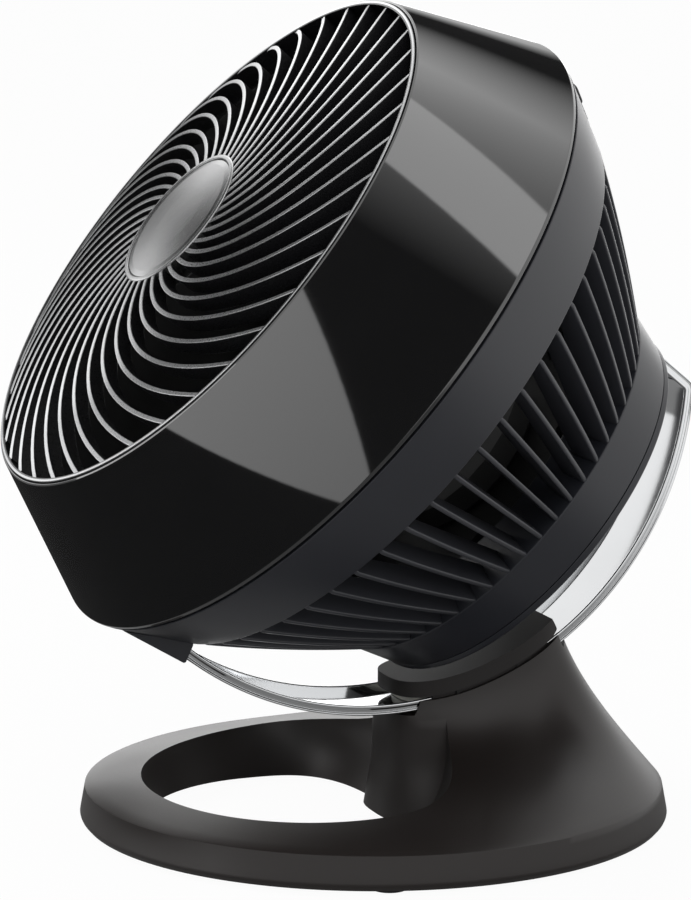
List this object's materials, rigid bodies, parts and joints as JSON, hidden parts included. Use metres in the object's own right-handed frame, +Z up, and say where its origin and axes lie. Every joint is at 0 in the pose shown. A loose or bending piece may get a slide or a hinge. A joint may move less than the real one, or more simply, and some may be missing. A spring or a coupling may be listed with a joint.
{
  "type": "air circulator fan",
  "caption": "Air circulator fan: a drum-shaped head with a spiral outlet grille tilts on a curved chrome glide over a round base with an open front.",
  "frame": {"origin": "on the floor, below the middle of the whole fan", "axes": "+Z up, -Y toward the front, where the fan blows, +X to the fan's left"},
  "size_m": [0.35, 0.3392, 0.4003],
  "materials": {
    "gloss_black": "piano-black gloss moulding",
    "satin_charcoal": "satin charcoal moulding",
    "satin_black": "satin black moulding",
    "grille_silver": "black moulding with bright satin front edges",
    "badge": "bare satin disc",
    "chrome": "polished chrome plate",
    "rubber": "matt black rubber",
    "felt": "pressed felt",
    "nylon": "natural nylon",
    "iron": "bare cast weight",
    "steel": "plain steel",
    "copper": "enamelled copper winding",
    "mount_alloy": "plain alloy sheet",
    "fan_grey": "satin dark grey moulding",
    "board": "green circuit board",
    "button_black": "matt black moulding"
  },
  "bodies": {
    "base": {"base_shell": "satin_black", "base_plate": "satin_black", "ballast_weight": "iron", "rubber_foot_1": "rubber", "rubber_foot_2": "rubber", "rubber_foot_3": "rubber", "rubber_foot_4": "rubber", "rubber_foot_5": "rubber", "saddle_cap": "satin_black", "glide_shoe": "nylon", "glide_pad": "felt", "cap_screw_1": "steel", "cap_screw_2": "steel", "cap_screw_3": "steel", "cap_screw_4": "steel"},
    "head": {"inner_duct": "satin_black", "cord_gland": "rubber", "cover_screw_1": "steel", "cover_screw_2": "steel", "cover_screw_3": "steel", "cover_screw_4": "steel", "glide_screw_1": "steel", "glide_screw_2": "steel", "motor_case_front": "steel", "motor_case_rear": "steel", "stator_core": "steel", "bearing_front": "steel", "bearing_rear": "steel", "front_shroud": "gloss_black", "front_grille": "grille_silver", "grille_badge": "badge", "rear_housing": "satin_charcoal", "rear_cover": "satin_charcoal", "glide_band": "chrome", "control_panel": "button_black", "run_capacitor": "button_black", "switch_board": "board", "motor_mount": "mount_alloy", "winding_front": "copper", "winding_rear": "copper"},
    "propeller": {"propeller": "fan_grey", "propeller_nut": "steel", "motor_shaft": "steel", "rotor_core": "steel"},
    "button_off": {"button_off": "button_black"},
    "button_1": {"button_1": "button_black"},
    "button_2": {"button_2": "button_black"},
    "button_3": {"button_3": "button_black"},
    "button_4": {"button_4": "button_black"}
  },
  "joints": [
    {"name": "head_tilt", "type": "hinge", "parent": "base", "child": "head", "pos_m": [0, 0.0072, 0.2195], "axis": [-1, 0, 0], "range_deg": [-35, 47]},
    {"name": "propeller_spin", "type": "hinge", "parent": "head", "child": "propeller", "pos_m": [0, -0.02114, 0.24328], "axis": [0, -0.766, 0.6428], "continuous": true},
    {"name": "button_off_press", "type": "slide", "parent": "head", "child": "button_off", "axis": [0.1891, -0.8905, -0.4139], "range_m": [0, 0.002], "stiffness_N_per_m": 400, "springref_m": -0.0004},
    {"name": "button_1_press", "type": "slide", "parent": "head", "child": "button_1", "axis": [0.095, -0.9001, -0.4253], "range_m": [0, 0.002], "stiffness_N_per_m": 400, "springref_m": -0.0004},
    {"name": "button_2_press", "type": "slide", "parent": "head", "child": "button_2", "axis": [0, -0.9033, -0.4291], "range_m": [0, 0.002], "stiffness_N_per_m": 400, "springref_m": -0.0004},
    {"name": "button_3_press", "type": "slide", "parent": "head", "child": "button_3", "axis": [-0.095, -0.9001, -0.4253], "range_m": [0, 0.002], "stiffness_N_per_m": 400, "springref_m": -0.0004},
    {"name": "button_4_press", "type": "slide", "parent": "head", "child": "button_4", "axis": [-0.1891, -0.8905, -0.4139], "range_m": [0, 0.002], "stiffness_N_per_m": 400, "springref_m": -0.0004}
  ]
}
